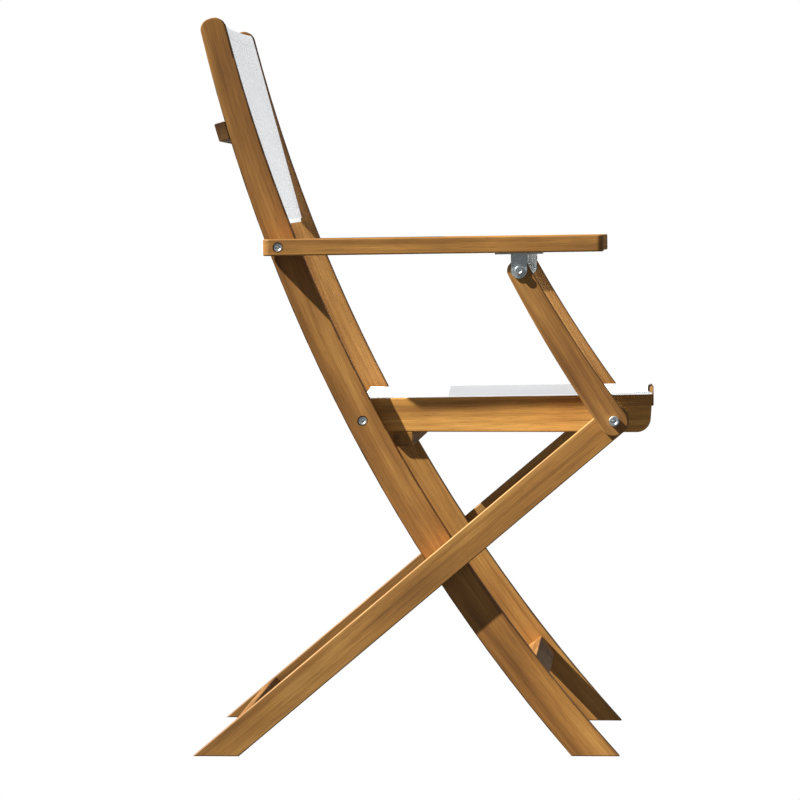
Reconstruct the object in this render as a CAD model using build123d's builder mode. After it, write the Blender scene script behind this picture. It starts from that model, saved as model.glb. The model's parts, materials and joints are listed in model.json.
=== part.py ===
from build123d import *
import math
import os

# Folding director chair. Millimetres, +X to the front, +Y to the occupant's left, +Z up.
# The origin is on the floor, under the middle of the open chair.

# Side layers, as distances from the middle plane. Every slat is one board thick.
BOARD = 20.0
GAP = 1.5
STILE_OUT = 235.0
STILE_IN = STILE_OUT - BOARD
RAIL_OUT = STILE_IN - GAP
RAIL_IN = RAIL_OUT - BOARD
LEG_IN = STILE_OUT + GAP
LEG_OUT = LEG_IN + BOARD
SUPPORT_IN = LEG_OUT + GAP
SUPPORT_OUT = SUPPORT_IN + BOARD
ARM_OUT = SUPPORT_OUT + 10.0

# Pivots of one side, as (X, Z). The folding linkage is A-B-C-D.
ARM_PIVOT = (-171.0, 607.0)
BRACKET_PIVOT = (114.2, 580.0)
FRONT_PIVOT = (226.8, 401.9)
REAR_PIVOT = (-73.5, 400.0)
FOLD_DEG = 100.0

# Curved stile: three points on each edge, and the radius of its rounded top.
STILE_REAR = ((-269.6, 876.0), (-94.6, 400.0), (176.2, 0.0))
STILE_FRONT = ((-241.0, 884.0), (-50.8, 400.0), (233.4, 0.0))
STILE_TOP_R = 13.0
EDGE_ROUND = 1.4

# Short leg.
LEG_SLOPE_DEG = 40.25
LEG_WIDTH = 35.5
GUIDE_DISTANCE = 262.0
SHOE_LENGTH = 26.0
SHOE_WIDTH = 12.0
GROOVE_DEPTH = 8.0
GUIDE_PIN_R = 4.0

# Armrest and its hinge bracket.
ARM_TILT_DEG = 0.8
ARM_REAR = 18.0
ARM_FRONT = 385.0
ARM_THICK = 20.0
ARM_CORNER = 8.0
PLATE = 1.8
PLATE_LENGTH = 57.0
EAR_WIDTH = 19.0
EAR_GAP = 0.8
SCREW_PITCH = 44.0

# Arm support: half widths at its two ends, and the bow of its centre line.
SUPPORT_TOP_R = 13.0
SUPPORT_FOOT_R = 17.3
SUPPORT_BOW = 4.5
# The bracket bolt's slot: the linkage is open at this pivot and its bolt needs this room.
SLOT_LENGTH = 19.6
SLOT_WIDTH = 11.8
SLOT_CENTRE = (0.0, -0.5)
SLOT_TURN_DEG = 8.0

# Seat.
RAIL_REAR = -92.0
RAIL_FRONT = 272.0
RAIL_BOTTOM = 386.3
RAIL_TOP_REAR = 425.8
RAIL_TOP_FRONT = 431.3
RAIL_NOSE_R = 17.0
RAIL_REAR_R = 8.0
SEAT_SAG = 6.0
SEAT_CLOTH_REAR = 5.0
SHEET = 1.2
FRONT_BAR_DEPTH = 14.0
FRONT_BAR_HEIGHT = 13.0
REAR_BAR_X = -26.1
REAR_BAR_DEPTH = 23.0
REAR_BAR_HEIGHT = 17.5

# Crossbars.
BACK_BAR_Z = 747.0
BAR_THIN = 13.0
BAR_WIDE = 22.0
FRONT_FOOT_BAR_CENTRE = (131.2, 91.7)
FRONT_FOOT_BAR = (20.0, 28.0)
REAR_FOOT_BAR_UP = 72.0
DOWEL_R = 4.0
DOWEL_DEPTH = 12.0
DOWEL_END_GAP = 0.5
DOWEL_PITCH = 12.0
SEAT_DOWEL_R = 3.0

# Back fabric: the straight line along which it is held in both stiles.
BACK_TOP = (-241.4, 875.0)
BACK_BOTTOM = (-177.7, 642.6)
# It is two layers deep, and the rear layer hangs slacker than the front one.
BACK_FRONT_SAG = 5.0
BACK_REAR_SAG = 13.5
CORD_R = 1.8
CORD_GROOVE = (4.4, 9.0)
CORD_LIFT = 0.4
RAIL_GROOVE_INSET = 4.5
RAIL_GROOVE_FRONT = 8.0
RAIL_GROOVE_REAR = 3.0

# Hardware radii and lengths.
RUN = 0.06
SLIP = 0.03
M6_R = 3.0
M8_R = 4.0
HEAD_R = 5.5
HEAD_HIGH = 4.5
COUNTERBORE_R = 6.2
COUNTERBORE_DEEP = 5.5
FRONT_HEAD_R = 6.15
FRONT_HEAD_HIGH = 6.0
SOCKET_R = 2.9
INSERT_WALL = 2.0
INSERT_START = 1.5
BOLT_START = 2.0
ARM_INSERT_START = 3.0
ARM_BOLT_START = 4.0
WASHER_R = 9.0
WASHER = 1.3
WASHER_GAP = 0.1
SPACER_R = 11.0
NUT_R = 5.6
NUT_HIGH = 4.2
BRACKET_HEAD_R = 5.0
BRACKET_TIP = 5.0
SCREW_R = 2.0
SCREW_HEAD_R = 4.0
SCREW_HEAD_HIGH = 2.2
ARM_SCREW = 13.0
BACK_SCREW = 34.0
REAR_BAR_SCREW = 38.0
SCREW_SPARE = 2.0

SIDES = {"right": -1, "left": 1}


def along(start, end, distance):
    """Point on the line from start towards end, a distance from start."""
    length = math.dist(start, end)
    return tuple(a + (b - a) * distance / length for a, b in zip(start, end))


def turned(point, centre, degrees):
    """Point turned about a centre, from +X towards +Z."""
    angle = math.radians(degrees)
    x = point[0] - centre[0]
    z = point[1] - centre[1]
    return (
        centre[0] + x * math.cos(angle) - z * math.sin(angle),
        centre[1] + x * math.sin(angle) + z * math.cos(angle),
    )


def side_plane(y):
    """Plane across the chair at y; its sketches are in (X, Z) and extrude towards -Y."""
    return Plane.XZ.offset(-y)


def tilted_plane(centre, direction_deg):
    """Plane seen from the side at (X, Z), with its own X along the given direction."""
    angle = math.radians(direction_deg)
    return Plane(
        origin=(centre[0], 0, centre[1]),
        x_dir=(math.cos(angle), 0, math.sin(angle)),
        z_dir=(0, -1, 0),
    )


def layer(side, inner, outer):
    """The higher y of a layer on one side, and its thickness."""
    return max(side * inner, side * outer), abs(outer - inner)


def drill(side, inner, outer, centre, radius):
    """Cut a round hole through one layer of the part that is being built."""
    y, depth = layer(side, inner, outer)
    with BuildSketch(side_plane(y)) as hole:
        with Locations(centre):
            Circle(radius)
    extrude(hole.sketch, amount=depth, mode=Mode.SUBTRACT)


def rod(side, inner, outer, centre, radius):
    """Add a round rod across one layer to the part that is being built."""
    y, depth = layer(side, inner, outer)
    with BuildSketch(side_plane(y)) as section:
        with Locations(centre):
            Circle(radius)
    extrude(section.sketch, amount=depth)


def direction_deg(start, end):
    return math.degrees(math.atan2(end[1] - start[1], end[0] - start[0]))


# Points that follow from the driving dimensions.
LEG_DOWN = (-math.cos(math.radians(LEG_SLOPE_DEG)), -math.sin(math.radians(LEG_SLOPE_DEG)))
GUIDE_PIN = tuple(c + GUIDE_DISTANCE * d for c, d in zip(FRONT_PIVOT, LEG_DOWN))
FOLDED_FRONT = turned(FRONT_PIVOT, REAR_PIVOT, FOLD_DEG)
GUIDE_TRAVEL = math.dist(FOLDED_FRONT, GUIDE_PIN) - GUIDE_DISTANCE
LEG_LENGTH = FRONT_PIVOT[1] / math.sin(math.radians(LEG_SLOPE_DEG))
RAIL_SLOPE = (RAIL_TOP_FRONT - RAIL_TOP_REAR) / (RAIL_FRONT - RAIL_REAR)


def rail_top(x):
    return RAIL_TOP_REAR + RAIL_SLOPE * (x - RAIL_REAR)


def stile_edge(points, z):
    """X of a curved stile edge at a height, on the circle through its three points."""
    (x1, z1), (x2, z2), (x3, z3) = points
    a = x1 * (z2 - z3) - z1 * (x2 - x3) + x2 * z3 - x3 * z2
    s1, s2, s3 = (x * x + y * y for x, y in points)
    cx = (s1 * (z2 - z3) + s2 * (z3 - z1) + s3 * (z1 - z2)) / (2 * a)
    cz = (s1 * (x3 - x2) + s2 * (x1 - x3) + s3 * (x2 - x1)) / (2 * a)
    radius = math.dist((cx, cz), points[0])
    return cx - math.sqrt(radius**2 - (z - cz) ** 2)


def stile_slope_deg(z):
    """Direction of the stile at a height, seen from the side, pointing down."""
    step = 5.0
    high = (stile_edge(STILE_REAR, z + step), z + step)
    low = (stile_edge(STILE_REAR, z - step), z - step)
    return direction_deg(high, low)


def shifted(point, direction, along_it, across_it):
    """Point moved along a direction in degrees, and across it to its left."""
    angle = math.radians(direction)
    return (
        point[0] + along_it * math.cos(angle) - across_it * math.sin(angle),
        point[1] + along_it * math.sin(angle) + across_it * math.cos(angle),
    )


BACK_BAR_TURN = stile_slope_deg(BACK_BAR_Z)
BACK_BAR_CENTRE = shifted(
    (stile_edge(STILE_REAR, BACK_BAR_Z), BACK_BAR_Z), BACK_BAR_TURN, 0, -(BAR_THIN / 2 + 0.05)
)
FRONT_FOOT_TURN = stile_slope_deg(FRONT_FOOT_BAR_CENTRE[1])
LEG_TURN = 180 + LEG_SLOPE_DEG
REAR_FOOT_BAR_CENTRE = shifted(
    FRONT_PIVOT,
    LEG_TURN,
    LEG_LENGTH + LEG_WIDTH / 2 / math.tan(math.radians(LEG_SLOPE_DEG)) - REAR_FOOT_BAR_UP,
    -(LEG_WIDTH - BAR_THIN) / 2 + 0.5,
)
BACK_TURN = direction_deg(BACK_TOP, BACK_BOTTOM)
BACK_LENGTH = math.dist(BACK_TOP, BACK_BOTTOM)
BACK_MIDDLE = along(BACK_TOP, BACK_BOTTOM, BACK_LENGTH / 2)


def dowel_centres(centre, turn):
    """Two dowels side by side in the end of a crossbar."""
    return [shifted(centre, turn, offset, 0) for offset in (-DOWEL_PITCH / 2, DOWEL_PITCH / 2)]


FRONT_BAR_CENTRE = (
    RAIL_FRONT + 1.5 - FRONT_BAR_DEPTH / 2,
    RAIL_TOP_FRONT - 1.0 - FRONT_BAR_HEIGHT / 2,
)
FRONT_FOOT_DOWELS = dowel_centres(FRONT_FOOT_BAR_CENTRE, FRONT_FOOT_TURN)
REAR_FOOT_DOWELS = dowel_centres(REAR_FOOT_BAR_CENTRE, LEG_TURN)


def make_stile(side):
    """Long curved slat, from the top of the back to the front foot."""
    y, depth = layer(side, STILE_IN, STILE_OUT)
    with BuildPart() as stile:
        with BuildSketch(side_plane(y)) as outline:
            with BuildLine():
                ThreePointArc(*STILE_REAR)
                Line(STILE_REAR[2], STILE_FRONT[2])
                ThreePointArc(*reversed(STILE_FRONT))
                Line(STILE_FRONT[0], STILE_REAR[0])
            make_face()
            fillet(outline.vertices().sort_by(Axis.Y)[-2:], STILE_TOP_R)
        extrude(amount=depth)
        fillet(stile.faces().filter_by(Axis.Y).edges(), EDGE_ROUND)
        # Groove for the fabric's cord, in the inner face.
        groove_y, groove_depth = layer(side, STILE_IN, STILE_IN + CORD_GROOVE[1])
        with BuildSketch(tilted_plane(BACK_MIDDLE, BACK_TURN).offset(-groove_y)):
            SlotOverall(BACK_LENGTH + 2, CORD_GROOVE[0])
        extrude(amount=groove_depth, mode=Mode.SUBTRACT)
        # Armrest pivot insert, seat pivot with its counterbore, guide pin and dowels.
        drill(side, STILE_IN + 3, STILE_OUT, ARM_PIVOT, M6_R + INSERT_WALL + SLIP)
        drill(side, STILE_IN, STILE_OUT, REAR_PIVOT, M6_R + RUN)
        drill(side, STILE_OUT - COUNTERBORE_DEEP, STILE_OUT, REAR_PIVOT, COUNTERBORE_R)
        drill(side, STILE_OUT - DOWEL_DEPTH, STILE_OUT, GUIDE_PIN, GUIDE_PIN_R + SLIP)
        for centre in FRONT_FOOT_DOWELS:
            drill(side, STILE_IN, STILE_IN + DOWEL_DEPTH, centre, DOWEL_R + SLIP)
        with BuildSketch(back_screw_plane(side)):
            Circle(SCREW_R + SLIP)
        extrude(amount=BACK_SCREW - BAR_THIN / 2 + SCREW_SPARE, mode=Mode.SUBTRACT)
    return stile


def back_screw_plane(side):
    """Plane at the middle of the back crossbar's end, facing into the stile."""
    angle = math.radians(BACK_BAR_TURN + 90)
    return Plane(
        origin=(BACK_BAR_CENTRE[0], side * (STILE_OUT - BOARD / 2), BACK_BAR_CENTRE[1]),
        x_dir=(0, 1, 0),
        z_dir=(math.cos(angle), 0, math.sin(angle)),
    )


def make_leg(side):
    """Short straight leg, from the front pivot down to the rear foot."""
    y, depth = layer(side, LEG_IN, LEG_OUT)
    half = LEG_WIDTH / 2
    top_left = shifted(FRONT_PIVOT, LEG_TURN, 0, -half)
    top_right = shifted(FRONT_PIVOT, LEG_TURN, 0, half)
    crown = shifted(FRONT_PIVOT, LEG_TURN, -half, 0)
    foot_spread = half / math.tan(math.radians(LEG_SLOPE_DEG))
    rear_tip = shifted(FRONT_PIVOT, LEG_TURN, LEG_LENGTH + foot_spread, -half)
    front_tip = shifted(FRONT_PIVOT, LEG_TURN, LEG_LENGTH - foot_spread, half)
    with BuildPart() as leg:
        with BuildSketch(side_plane(y)):
            with BuildLine():
                Polyline(top_left, rear_tip, front_tip, top_right)
                ThreePointArc(top_right, crown, top_left)
            make_face()
        extrude(amount=depth)
        fillet(leg.faces().filter_by(Axis.Y).edges(), EDGE_ROUND)
        # Blind groove in the inner face, in which the guide shoe slides.
        groove_middle = shifted(FRONT_PIVOT, LEG_TURN, GUIDE_DISTANCE + GUIDE_TRAVEL / 2, 0)
        groove_y, groove_depth = layer(side, LEG_IN, LEG_IN + GROOVE_DEPTH)
        with BuildSketch(tilted_plane(groove_middle, LEG_TURN).offset(-groove_y)):
            SlotOverall(GUIDE_TRAVEL + SHOE_LENGTH + 0.8, SHOE_WIDTH + 0.3)
        extrude(amount=groove_depth, mode=Mode.SUBTRACT)
        drill(side, LEG_IN, LEG_OUT, FRONT_PIVOT, M8_R + RUN)
        for centre in REAR_FOOT_DOWELS:
            drill(side, LEG_IN, LEG_IN + DOWEL_DEPTH, centre, DOWEL_R + SLIP)
    return leg


def make_guide_shoes():
    """Sliding shoes that run in the legs' grooves, one on each side."""
    with BuildPart() as shoes:
        for side in SIDES.values():
            y, depth = layer(side, LEG_IN, LEG_IN + GROOVE_DEPTH - 0.3)
            with BuildSketch(tilted_plane(GUIDE_PIN, LEG_TURN).offset(-y)):
                SlotOverall(SHOE_LENGTH, SHOE_WIDTH)
            extrude(amount=depth)
            drill(side, LEG_IN, LEG_IN + 5, GUIDE_PIN, GUIDE_PIN_R + RUN)
    return shoes


def make_support(side):
    """Bowed bar from the front pivot up to the armrest's bracket."""
    y, depth = layer(side, SUPPORT_IN, SUPPORT_OUT)
    turn = direction_deg(BRACKET_PIVOT, FRONT_PIVOT)
    length = math.dist(BRACKET_PIVOT, FRONT_PIVOT)
    middle_half = (SUPPORT_TOP_R + SUPPORT_FOOT_R) / 2

    def spot(distance, across):
        return shifted(BRACKET_PIVOT, turn, distance, across)

    with BuildPart() as support:
        with BuildSketch(side_plane(y)) as outline:
            with BuildLine():
                front_side = (
                    spot(-SUPPORT_TOP_R, SUPPORT_TOP_R),
                    spot(length / 2, middle_half - SUPPORT_BOW),
                    spot(length + SUPPORT_FOOT_R, SUPPORT_FOOT_R),
                )
                rear_side = (
                    spot(length + SUPPORT_FOOT_R, -SUPPORT_FOOT_R),
                    spot(length / 2, -middle_half - SUPPORT_BOW),
                    spot(-SUPPORT_TOP_R, -SUPPORT_TOP_R),
                )
                ThreePointArc(*front_side)
                Line(front_side[2], rear_side[0])
                ThreePointArc(*rear_side)
                Line(rear_side[2], front_side[0])
            make_face()
            fillet(outline.vertices().sort_by(Axis.Y)[:2], SUPPORT_FOOT_R - 1.0)
            fillet(outline.vertices().sort_by(Axis.Y)[-2:], SUPPORT_TOP_R - 1.0)
        extrude(amount=depth)
        fillet(support.faces().filter_by(Axis.Y).edges(), EDGE_ROUND)
        drill(side, SUPPORT_IN, SUPPORT_OUT, FRONT_PIVOT, M8_R + RUN)
        slot_centre = tuple(b + s for b, s in zip(BRACKET_PIVOT, SLOT_CENTRE))
        with BuildSketch(tilted_plane(slot_centre, SLOT_TURN_DEG).offset(-y)):
            SlotOverall(SLOT_LENGTH, SLOT_WIDTH)
        extrude(amount=depth, mode=Mode.SUBTRACT)
    return support


def arm_plane(rise=0.0):
    """Plane along the armrest's middle thickness, with the arm pivot at its origin."""
    tilt = math.radians(ARM_TILT_DEG)
    normal = (-math.sin(tilt), 0, math.cos(tilt))
    return Plane(
        origin=(ARM_PIVOT[0] + rise * normal[0], 0, ARM_PIVOT[1] + rise * normal[2]),
        x_dir=(math.cos(tilt), 0, math.sin(tilt)),
        z_dir=normal,
    )


def in_arm(point):
    """Place of an (X, Z) point along and above the armrest's middle."""
    return turned(
        (point[0] - ARM_PIVOT[0], point[1] - ARM_PIVOT[1]), (0, 0), -ARM_TILT_DEG
    )


def bracket_screw_spots(side):
    bolt_along = in_arm(BRACKET_PIVOT)[0]
    middle = side * (SUPPORT_IN + SUPPORT_OUT) / 2
    return [(bolt_along - SCREW_PITCH / 2, middle), (bolt_along + SCREW_PITCH / 2, middle)]


def make_armrest(side):
    """Flat board that lies outside the stile, over the leg and the support."""
    length = ARM_REAR + ARM_FRONT
    width = ARM_OUT - LEG_IN
    middle = (ARM_FRONT - ARM_REAR) / 2
    with BuildPart() as armrest:
        with BuildSketch(arm_plane(-ARM_THICK / 2)):
            with Locations((middle, side * (LEG_IN + width / 2))):
                RectangleRounded(length, width, ARM_CORNER)
        extrude(amount=ARM_THICK)
        top_and_bottom = armrest.faces().filter_by(arm_plane())
        fillet(top_and_bottom.edges(), EDGE_ROUND + 0.5)
        drill(side, LEG_IN, ARM_OUT, ARM_PIVOT, M6_R + RUN)
        drill(side, ARM_OUT - COUNTERBORE_DEEP, ARM_OUT, ARM_PIVOT, COUNTERBORE_R)
        with BuildSketch(arm_plane(-ARM_THICK / 2)):
            with Locations(*bracket_screw_spots(side)):
                Circle(SCREW_R + SLIP)
        extrude(amount=ARM_SCREW + SCREW_SPARE / 2, mode=Mode.SUBTRACT)
    return armrest


def make_bracket(side):
    """Bent steel U under the armrest: a base plate and two rounded ears."""
    bolt_along, bolt_up = in_arm(BRACKET_PIVOT)
    under = -ARM_THICK / 2
    inner_face = SUPPORT_IN - EAR_GAP
    outer_face = SUPPORT_OUT + EAR_GAP
    width = outer_face - inner_face + 2 * PLATE
    with BuildPart() as bracket:
        with BuildSketch(arm_plane(under - PLATE)):
            with Locations((bolt_along, side * (SUPPORT_IN + SUPPORT_OUT) / 2)):
                RectangleRounded(PLATE_LENGTH, width, 3)
        extrude(amount=PLATE)
        for ear in (inner_face - PLATE, outer_face):
            y, depth = layer(side, ear, ear + PLATE)
            with BuildSketch(tilted_plane(BRACKET_PIVOT, ARM_TILT_DEG).offset(-y)):
                Circle(EAR_WIDTH / 2)
                with Locations((0, (under - bolt_up) / 2)):
                    Rectangle(EAR_WIDTH, under - bolt_up)
            extrude(amount=depth)
            drill(side, ear, ear + PLATE, BRACKET_PIVOT, M6_R + SLIP)
        with BuildSketch(arm_plane(under - PLATE)):
            with Locations(*bracket_screw_spots(side)):
                Circle(SCREW_HEAD_R + SLIP)
        extrude(amount=PLATE, mode=Mode.SUBTRACT)
    return bracket


def make_bracket_screws(side):
    """Two wood screws with countersunk heads in the base plate."""
    with BuildPart() as screws:
        for spot in bracket_screw_spots(side):
            with BuildSketch(arm_plane(-ARM_THICK / 2 - PLATE)):
                with Locations(spot):
                    Circle(SCREW_HEAD_R)
            extrude(amount=PLATE)
            with BuildSketch(arm_plane(-ARM_THICK / 2)):
                with Locations(spot):
                    Circle(SCREW_R)
            extrude(amount=ARM_SCREW)
    return screws


def make_bolt(side, tip, seat, centre, shank_r, head_r, head_high):
    """Socket head bolt across the chair: its shank from tip to seat, and its head outside."""
    with BuildPart() as bolt:
        rod(side, tip, seat, centre, shank_r)
        rod(side, seat, seat + head_high, centre, head_r)
        y, depth = layer(side, seat + head_high * 0.4, seat + head_high)
        with BuildSketch(side_plane(y)):
            with Locations(centre):
                RegularPolygon(SOCKET_R, 6)
        extrude(amount=depth, mode=Mode.SUBTRACT)
    return bolt


def make_nut(side, inner, outer, centre, hole_r):
    """Hexagon nut across the chair."""
    with BuildPart() as nut:
        y, depth = layer(side, inner, outer)
        with BuildSketch(side_plane(y)):
            with Locations(centre):
                RegularPolygon(NUT_R, 6)
                Circle(hole_r, mode=Mode.SUBTRACT)
        extrude(amount=depth)
    return nut


def make_rings(inner, outer, centre, hole_r, ring_r):
    """A ring on the same axis on each side: a washer, a spacer or a threaded insert."""
    with BuildPart() as rings:
        for side in SIDES.values():
            y, depth = layer(side, inner, outer)
            with BuildSketch(side_plane(y)):
                with Locations(centre):
                    Circle(ring_r)
                    Circle(hole_r, mode=Mode.SUBTRACT)
            extrude(amount=depth)
    return rings


def make_washers(face, centre, bolt_r):
    """A washer on each side, in the gap outside a layer's outer face."""
    return make_rings(face + WASHER_GAP, face + WASHER_GAP + WASHER, centre, bolt_r + RUN, WASHER_R)


def make_pivot_bolts(tip, seat, centre, shank_r, head_r, head_high):
    """The same bolt on each side."""
    with BuildPart() as bolts:
        for side in SIDES.values():
            bolt = make_bolt(side, tip, seat, centre, shank_r, head_r, head_high)
            add(bolt.part)
    return bolts


def make_crossbar(half_length, centre, turn, thick, wide):
    """Rectangular bar across the chair, with its wide side along the given direction."""
    with BuildPart() as bar:
        with BuildSketch(tilted_plane(centre, turn).offset(-half_length)):
            Rectangle(wide, thick)
        extrude(amount=2 * half_length)
        fillet(bar.edges().filter_by(Axis.Y), EDGE_ROUND)
        fillet(bar.faces().filter_by(Axis.Y).edges(), 0.8)
    return bar


def make_dowelled_bar(half_length, centre, turn, thick, wide, dowels, dowel_r=DOWEL_R):
    """Crossbar with blind dowel holes in both ends."""
    bar = make_crossbar(half_length, centre, turn, thick, wide)
    with BuildPart() as dowelled:
        add(bar.part)
        for side in SIDES.values():
            for spot in dowels:
                drill(side, half_length - DOWEL_DEPTH, half_length, spot, dowel_r + SLIP)
    return dowelled


def make_dowels(joint_y, centres, dowel_r=DOWEL_R):
    """Round dowels across a joint, a little shorter than their holes."""
    reach = DOWEL_DEPTH - DOWEL_END_GAP
    with BuildPart() as dowels:
        for side in SIDES.values():
            for spot in centres:
                rod(side, joint_y - reach, joint_y + reach, spot, dowel_r)
    return dowels


def make_back_crossbar():
    """Bar behind both stiles, with a screw hole at each end."""
    bar = make_crossbar(STILE_OUT, BACK_BAR_CENTRE, BACK_BAR_TURN, BAR_THIN, BAR_WIDE)
    with BuildPart() as drilled:
        add(bar.part)
        for side in SIDES.values():
            plane = back_screw_plane(side)
            with BuildSketch(plane.offset(-BAR_THIN / 2)):
                Circle(SCREW_R + SLIP)
            extrude(amount=BAR_THIN, mode=Mode.SUBTRACT)
            with BuildSketch(plane.offset(-BAR_THIN / 2)):
                Circle(SCREW_HEAD_R + SLIP)
            extrude(amount=SCREW_HEAD_HIGH, mode=Mode.SUBTRACT)
    return drilled


def make_back_screws():
    with BuildPart() as screws:
        for side in SIDES.values():
            plane = back_screw_plane(side).offset(-BAR_THIN / 2)
            with BuildSketch(plane):
                Circle(SCREW_HEAD_R)
            extrude(amount=SCREW_HEAD_HIGH)
            with BuildSketch(plane):
                Circle(SCREW_R)
            extrude(amount=BACK_SCREW)
    return screws


def make_rail(side):
    """Side rail of the seat, with a rounded nose and a cord groove in its top."""
    y, depth = layer(side, RAIL_IN, RAIL_OUT)
    with BuildPart() as rail:
        with BuildSketch(side_plane(y)) as outline:
            with BuildLine():
                Polyline(
                    (RAIL_REAR, RAIL_BOTTOM),
                    (RAIL_FRONT - 3, RAIL_BOTTOM),
                    (RAIL_FRONT, RAIL_TOP_FRONT),
                    (RAIL_REAR, RAIL_TOP_REAR),
                    close=True,
                )
            make_face()
            fillet(outline.vertices().sort_by(Axis.Y)[:2].sort_by(Axis.X)[-1], RAIL_NOSE_R)
            fillet(outline.vertices().sort_by(Axis.X)[:2], RAIL_REAR_R)
        extrude(amount=depth)
        fillet(rail.faces().filter_by(Axis.Y).edges(), EDGE_ROUND)
        groove_in = RAIL_IN + RAIL_GROOVE_INSET
        groove_y, groove_width = layer(side, groove_in, groove_in + CORD_GROOVE[0])
        groove_rear = RAIL_REAR + RAIL_GROOVE_REAR
        groove_front = RAIL_FRONT - RAIL_GROOVE_FRONT
        with BuildSketch(side_plane(groove_y)):
            with BuildLine():
                Polyline(
                    (groove_rear, rail_top(RAIL_REAR) - CORD_GROOVE[1]),
                    (groove_front, rail_top(RAIL_FRONT) - CORD_GROOVE[1]),
                    (groove_front, rail_top(RAIL_FRONT) + 1),
                    (groove_rear, rail_top(RAIL_REAR) + 1),
                    close=True,
                )
            make_face()
        extrude(amount=groove_width, mode=Mode.SUBTRACT)
        drill(side, RAIL_IN + INSERT_START, RAIL_OUT, FRONT_PIVOT, M8_R + INSERT_WALL + SLIP)
        drill(side, RAIL_IN + INSERT_START, RAIL_OUT, REAR_PIVOT, M6_R + INSERT_WALL + SLIP)
        drill(side, RAIL_IN, RAIL_IN + DOWEL_DEPTH, FRONT_BAR_CENTRE, SEAT_DOWEL_R + SLIP)
        with BuildSketch(Plane.XY.offset(RAIL_BOTTOM)):
            with Locations((REAR_BAR_X, side * (RAIL_IN + RAIL_OUT) / 2)):
                Circle(SCREW_R + SLIP)
        extrude(amount=REAR_BAR_SCREW - REAR_BAR_HEIGHT + SCREW_SPARE, mode=Mode.SUBTRACT)
    return rail


def make_rear_bar():
    """Bar under both rails, near the rear pivot."""
    centre = (REAR_BAR_X, RAIL_BOTTOM - REAR_BAR_HEIGHT / 2 - 0.05)
    bar = make_crossbar(RAIL_OUT, centre, 0, REAR_BAR_HEIGHT, REAR_BAR_DEPTH)
    with BuildPart() as drilled:
        add(bar.part)
        bottom = Plane.XY.offset(RAIL_BOTTOM - REAR_BAR_HEIGHT - 1)
        through = (SCREW_R + SLIP, REAR_BAR_HEIGHT + 2)
        recess = (SCREW_HEAD_R + SLIP, SCREW_HEAD_HIGH + 1)
        for side in SIDES.values():
            for radius, depth in (through, recess):
                with BuildSketch(bottom):
                    with Locations((REAR_BAR_X, side * (RAIL_IN + RAIL_OUT) / 2)):
                        Circle(radius)
                extrude(amount=depth, mode=Mode.SUBTRACT)
    return drilled


def make_rear_bar_screws():
    bottom = Plane.XY.offset(RAIL_BOTTOM - REAR_BAR_HEIGHT)
    with BuildPart() as screws:
        for side in SIDES.values():
            for radius, depth in ((SCREW_R, REAR_BAR_SCREW), (SCREW_HEAD_R, SCREW_HEAD_HIGH - 0.05)):
                with BuildSketch(bottom):
                    with Locations((REAR_BAR_X, side * (RAIL_IN + RAIL_OUT) / 2)):
                        Circle(radius)
                extrude(amount=depth)
    return screws


def make_seat_fabric():
    """Sheet between the rails, resting on their inner top edges and sagging between."""
    rear = RAIL_REAR + SEAT_CLOTH_REAR
    front = RAIL_FRONT - 2
    half = RAIL_IN + 4
    slope = math.atan(RAIL_SLOPE)
    plane = Plane(
        origin=(rear, 0, rail_top(rear)),
        x_dir=(0, 1, 0),
        z_dir=(math.cos(slope), 0, math.sin(slope)),
    )
    low = 0.3
    high = low + SHEET
    with BuildPart() as sheet:
        with BuildSketch(plane):
            with BuildLine():
                Line((-half, low), (-RAIL_IN, low))
                ThreePointArc((-RAIL_IN, low), (0, low - SEAT_SAG), (RAIL_IN, low))
                Polyline((RAIL_IN, low), (half, low), (half, high), (RAIL_IN, high))
                ThreePointArc((RAIL_IN, high), (0, high - SEAT_SAG), (-RAIL_IN, high))
                Polyline((-RAIL_IN, high), (-half, high), (-half, low))
            make_face()
        extrude(amount=(front - rear) / math.cos(slope) - FRONT_BAR_DEPTH - 1)
    return sheet


def make_seat_cords():
    """Cords that hold the seat fabric's edges in the rails' grooves."""
    rear = RAIL_REAR + SEAT_CLOTH_REAR
    slope = math.atan(RAIL_SLOPE)
    with BuildPart() as cords:
        for side in SIDES.values():
            y = side * (RAIL_IN + RAIL_GROOVE_INSET + CORD_GROOVE[0] / 2)
            start = Plane(
                origin=(rear, y, rail_top(rear) - CORD_GROOVE[1] + CORD_R + CORD_LIFT),
                z_dir=(math.cos(slope), 0, math.sin(slope)),
            )
            with BuildSketch(start):
                Circle(CORD_R)
            extrude(amount=RAIL_FRONT - 10 - rear)
    return cords


def make_back_fabric():
    """Double sheet between the stiles, held along a straight line in each of them."""
    plane = Plane(
        origin=(BACK_BOTTOM[0], 0, BACK_BOTTOM[1]),
        x_dir=(0, 1, 0),
        z_dir=(BACK_TOP[0] - BACK_BOTTOM[0], 0, BACK_TOP[1] - BACK_BOTTOM[1]),
    )
    half = STILE_IN - 0.4
    # The sag is to the rear, and the plane's own Y points to the front or to the rear.
    rearward = -1 if plane.y_dir.X > 0 else 1
    front_edge = -SHEET / 2 * rearward
    rear_edge = SHEET / 2 * rearward
    with BuildPart() as sheet:
        with BuildSketch(plane):
            with BuildLine():
                ThreePointArc(
                    (-half, front_edge),
                    (0, front_edge + BACK_FRONT_SAG * rearward),
                    (half, front_edge),
                )
                Line((half, front_edge), (half, rear_edge))
                ThreePointArc(
                    (half, rear_edge),
                    (0, rear_edge + BACK_REAR_SAG * rearward),
                    (-half, rear_edge),
                )
                Line((-half, rear_edge), (-half, front_edge))
            make_face()
        extrude(amount=BACK_LENGTH)
    return sheet


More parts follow.
